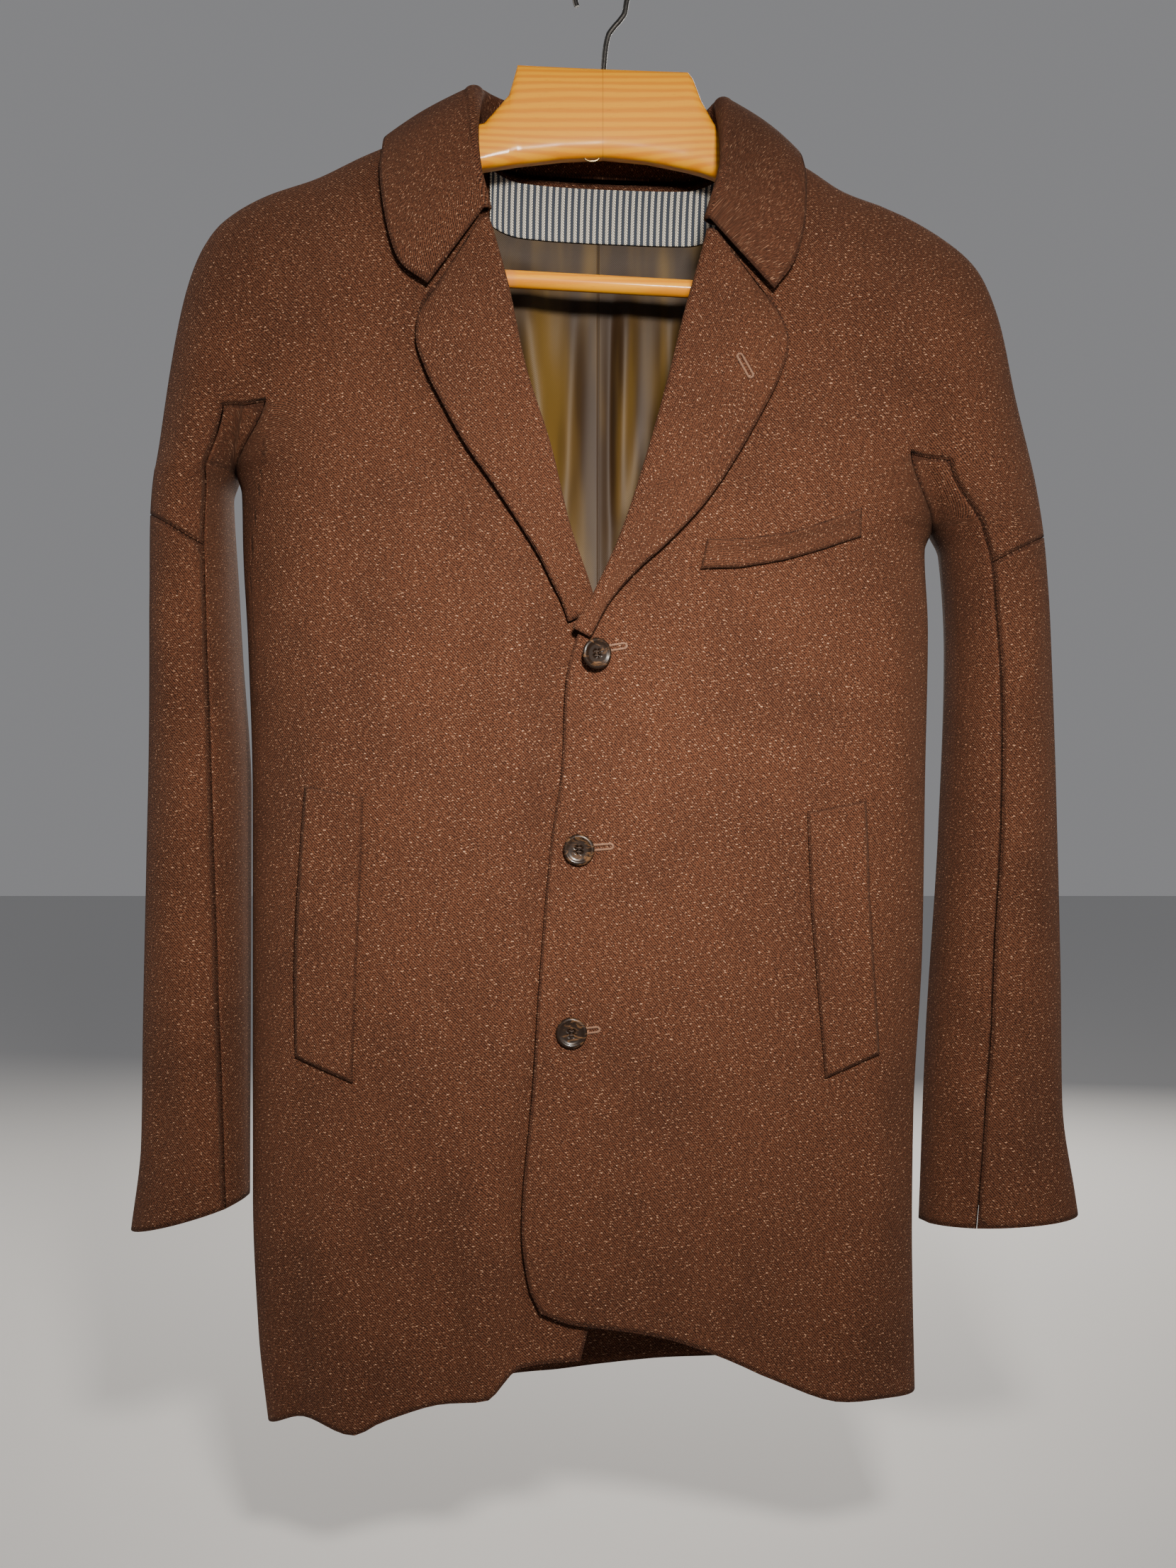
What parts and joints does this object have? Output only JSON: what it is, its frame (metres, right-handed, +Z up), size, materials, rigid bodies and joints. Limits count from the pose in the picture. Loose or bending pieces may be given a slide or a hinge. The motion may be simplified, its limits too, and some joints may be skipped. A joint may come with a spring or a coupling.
{
  "type": "wool jacket on a wooden coat hanger",
  "caption": "Single-breasted wool jacket with notch lapels, dropped shoulders, upright hand pockets and a chest pocket, hanging buttoned on a wooden hanger with a trouser bar.",
  "frame": {"origin": "top of the hook's inner side, where the hanger is held", "axes": "+Z up, front of the jacket towards -Y, +X to the viewer's right"},
  "size_m": [0.6717, 0.1639, 1.0146],
  "materials": {
    "wool": "napped wool",
    "lining": "satin twill",
    "stripe": "striped woven tape",
    "horn": "polished horn",
    "wood": "clear lacquer",
    "steel": "plated wire"
  },
  "bodies": {
    "root": {"front_left": "wool", "front_right": "wool", "back": "wool", "sleeve_top_left": "wool", "sleeve_top_right": "wool", "sleeve_under_left": "wool", "sleeve_under_right": "wool", "collar": "wool", "lapel_left": "wool", "lapel_right": "wool", "welt_chest": "wool", "welt_hand_left": "wool", "welt_hand_right": "wool", "neck_band": "stripe", "lining_back": "lining", "button_top": "horn", "button_middle": "horn", "button_bottom": "horn", "hanger_body": "wood", "hanger_bar": "wood", "hanger_hook": "steel"}
  },
  "joints": []
}
